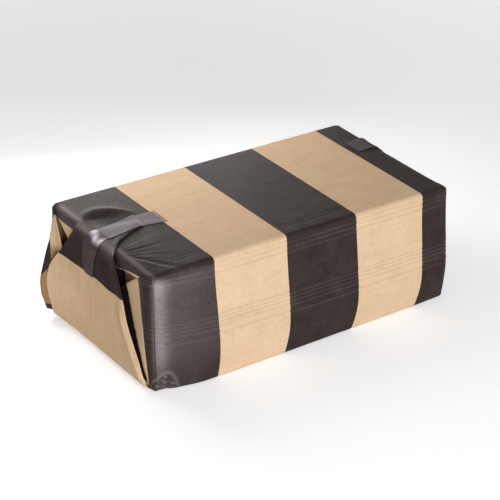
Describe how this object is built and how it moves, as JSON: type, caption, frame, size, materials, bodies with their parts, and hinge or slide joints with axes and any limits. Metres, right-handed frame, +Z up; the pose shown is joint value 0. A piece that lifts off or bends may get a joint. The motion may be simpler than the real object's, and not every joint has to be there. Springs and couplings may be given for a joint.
{
  "type": "taped parcel",
  "caption": "Small closed gift parcel wrapped in banded kraft paper, with folded ends and strips of clear tape, resting flat on its underside.",
  "frame": {"origin": "under the middle of the parcel, on the surface it rests on", "axes": "+X along the length towards the plainer end, +Y to the back, +Z up"},
  "size_m": [0.2176, 0.11, 0.0733],
  "materials": {
    "kraft_paper": "matte",
    "clear_tape": "satin"
  },
  "bodies": {
    "root": {"wrapped_pack": "kraft_paper", "left_end_tape": "clear_tape", "right_end_tape": "clear_tape", "underside_tape": "clear_tape"}
  },
  "joints": []
}
